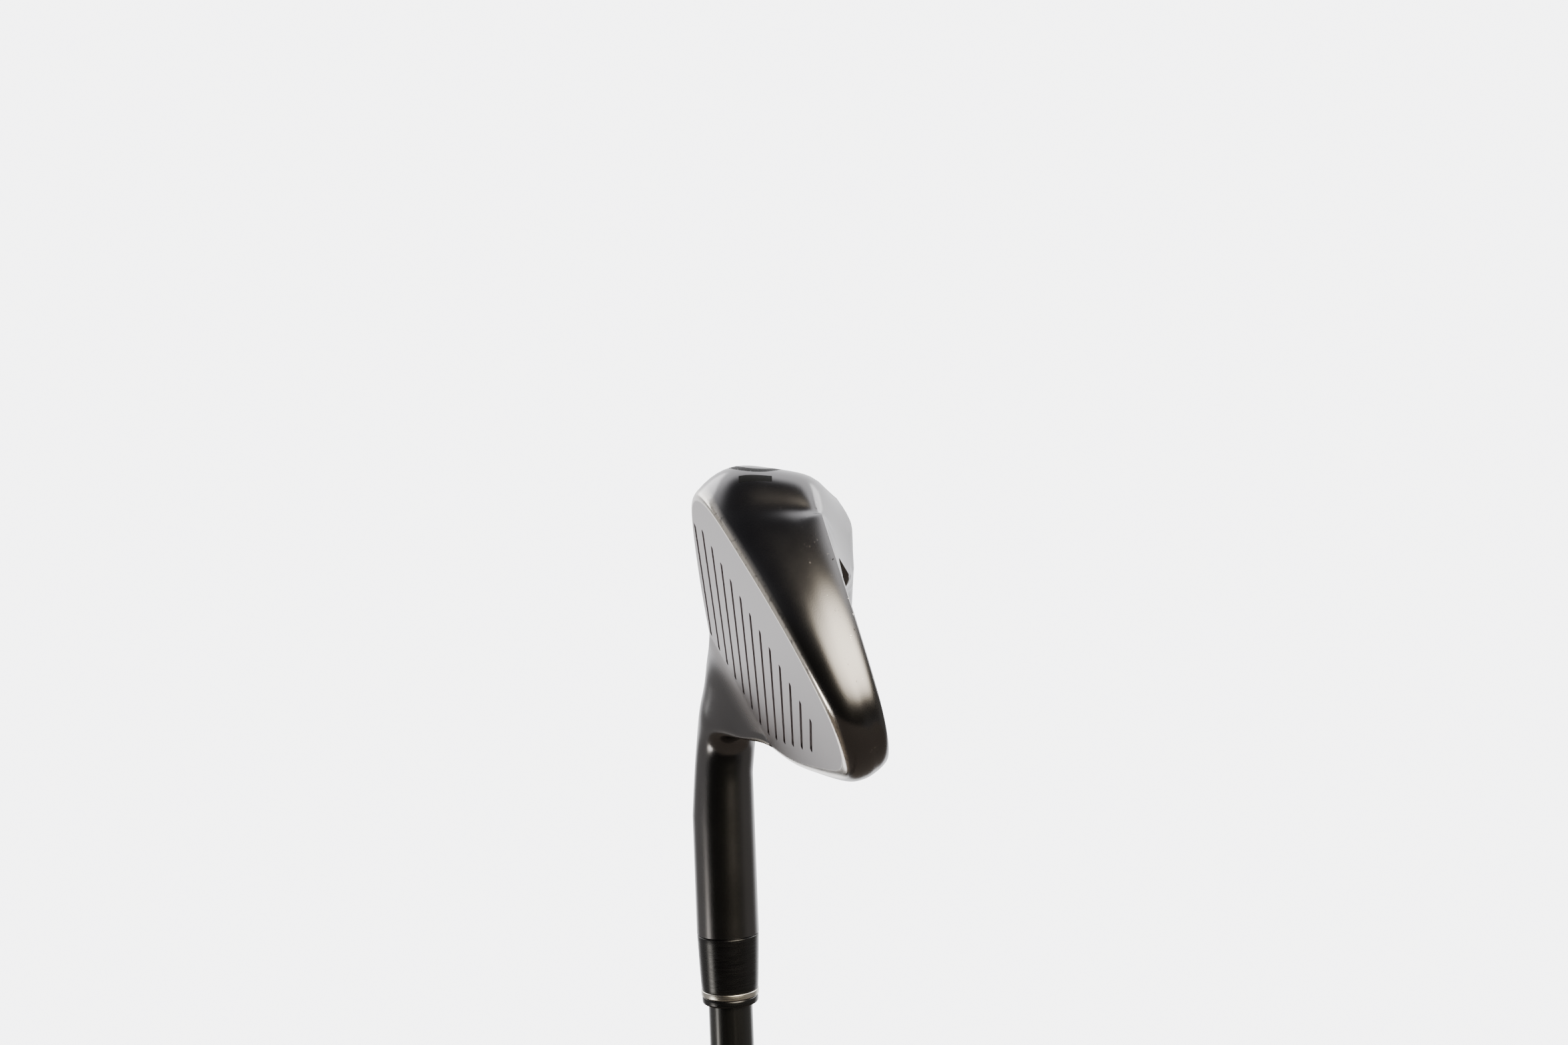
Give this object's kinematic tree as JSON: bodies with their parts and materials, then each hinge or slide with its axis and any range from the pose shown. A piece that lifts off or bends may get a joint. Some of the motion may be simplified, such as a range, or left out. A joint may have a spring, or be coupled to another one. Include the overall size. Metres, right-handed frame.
{
  "type": "iron golf club",
  "caption": "Right-handed cavity-back 6-iron: steel head with grooved face plate, ferrule with metal ring, tapered carbon shaft and rubber grip.",
  "frame": {"origin": "centre of the grip's butt end, on the shaft axis", "axes": "+Z along the shaft axis from the grip to the head, +X towards the toe, +Y towards the back of the head, so the face looks to -Y"},
  "size_m": [0.1083, 0.0449, 0.9854],
  "materials": {
    "smoked_steel": "satin smoked nickel over cast steel",
    "face_steel": "satin, fine horizontal milling",
    "tungsten": "satin",
    "adhesive_tape": "matt",
    "damping_rubber": "matt",
    "badge_aluminium": "dark anodised, brushed",
    "black_paint": "gloss",
    "epoxy": "matt",
    "brass_plug": "as turned",
    "ferrule_black": "polished",
    "ring_aluminium": "polished",
    "carbon_shaft": "lacquered carbon fibre laminate",
    "grip_tape_paper": "matt",
    "grip_rubber": "matt, textured"
  },
  "bodies": {
    "root": {"head_body": "smoked_steel", "face_plate": "face_steel", "toe_weight": "tungsten", "badge_tape": "adhesive_tape", "damping_pad": "damping_rubber", "cavity_badge": "badge_aluminium", "sole_number_fill": "black_paint", "hosel_epoxy": "epoxy", "tip_weight": "brass_plug", "ferrule_sleeve": "ferrule_black", "ferrule_ring": "ring_aluminium", "ferrule_collar": "ferrule_black", "shaft": "carbon_shaft", "grip_tape": "grip_tape_paper", "grip_sleeve": "grip_rubber", "grip_cap": "grip_rubber"}
  },
  "joints": []
}
